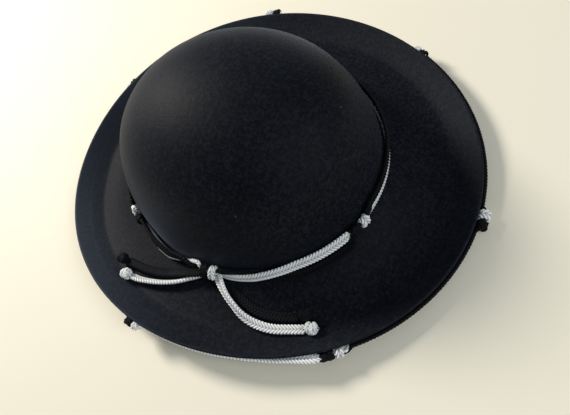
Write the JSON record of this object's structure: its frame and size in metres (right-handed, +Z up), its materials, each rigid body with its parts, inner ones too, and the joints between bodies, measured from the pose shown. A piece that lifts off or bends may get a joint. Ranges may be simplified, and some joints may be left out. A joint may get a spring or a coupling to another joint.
{
  "type": "felt hat",
  "caption": "Round-crowned felt hat with a wide brim turned up at its edge, trimmed with two flat braided cords knotted together round the crown and the brim's edge.",
  "frame": {"origin": "on the surface that the hat rests on, under the middle of its outline", "axes": "+Z up through the crown, -Y towards the wearer's face and the front of the brim, -X towards the wearer's right, where the crown cords are tied"},
  "size_m": [0.28, 0.319, 0.104],
  "materials": {
    "felt": "matt brushed wool felt",
    "white_braid": "soft sheen, braided",
    "black_braid": "soft sheen, braided"
  },
  "bodies": {
    "root": {"felt_body": "felt", "crown_cord_white": "white_braid", "rim_cord_white": "white_braid", "crown_cord_black": "black_braid", "rim_cord_black": "black_braid", "tail_white_right": "white_braid", "end_knot_white_right": "white_braid", "tail_black_right": "black_braid", "end_knot_black_right": "black_braid", "tail_white_left": "white_braid", "end_knot_white_left": "white_braid", "tail_black_left": "black_braid", "end_knot_black_left": "black_braid"}
  },
  "joints": []
}
